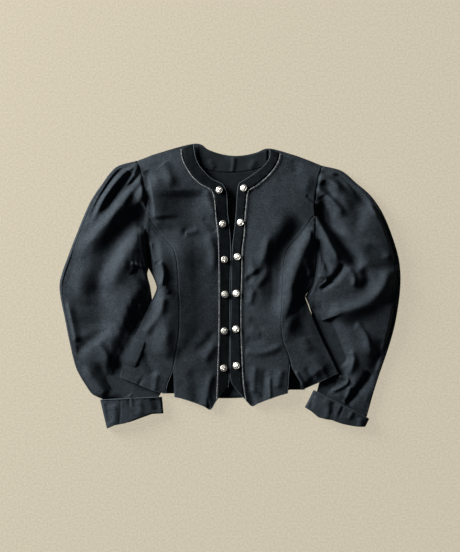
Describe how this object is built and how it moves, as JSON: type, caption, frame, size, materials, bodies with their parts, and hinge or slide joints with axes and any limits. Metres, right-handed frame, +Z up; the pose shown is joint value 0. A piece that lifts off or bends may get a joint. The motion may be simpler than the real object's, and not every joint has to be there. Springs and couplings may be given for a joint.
{
  "type": "tyrolean jacket",
  "caption": "Cropped folk jacket of wool, laid flat: round neck, velvet front bands, metal buttons, princess seams, leg of mutton sleeves and turned-back cuffs.",
  "frame": {"origin": "on the surface that the jacket lies on, under the middle of its bounding box", "axes": "+Z up from that surface, +Y from hem to neck, +X toward the wearer's left sleeve"},
  "size_m": [0.6972, 0.584, 0.0564],
  "materials": {
    "wool": "matt boiled wool with a short soft nap, blue grey",
    "velvet": "short pile velvet, near black with a green cast, pale twisted cord along its edge",
    "lining": "satin lining, dark blue grey",
    "facing": "matt wool facing, darker than the outside",
    "silver": "antique silver, domed, polished high spots and dark hollows"
  },
  "bodies": {
    "root": {"back": "wool", "back_facing": "facing", "lining_back": "lining", "front_centre_right": "wool", "front_centre_left": "wool", "front_side_right": "wool", "front_side_left": "wool", "vent_underlay_right": "wool", "vent_underlay_left": "wool", "sleeve_upper_right": "wool", "sleeve_upper_left": "wool", "sleeve_under_right": "wool", "sleeve_under_left": "wool", "cuff_right": "wool", "cuff_left": "wool", "velvet_band_right": "velvet", "velvet_band_left": "velvet", "button_right_1": "silver", "button_right_2": "silver", "button_right_3": "silver", "button_right_4": "silver", "button_right_5": "silver", "button_right_6": "silver", "button_left_1": "silver", "button_left_2": "silver", "button_left_3": "silver", "button_left_4": "silver", "button_left_5": "silver", "button_left_6": "silver"}
  },
  "joints": []
}
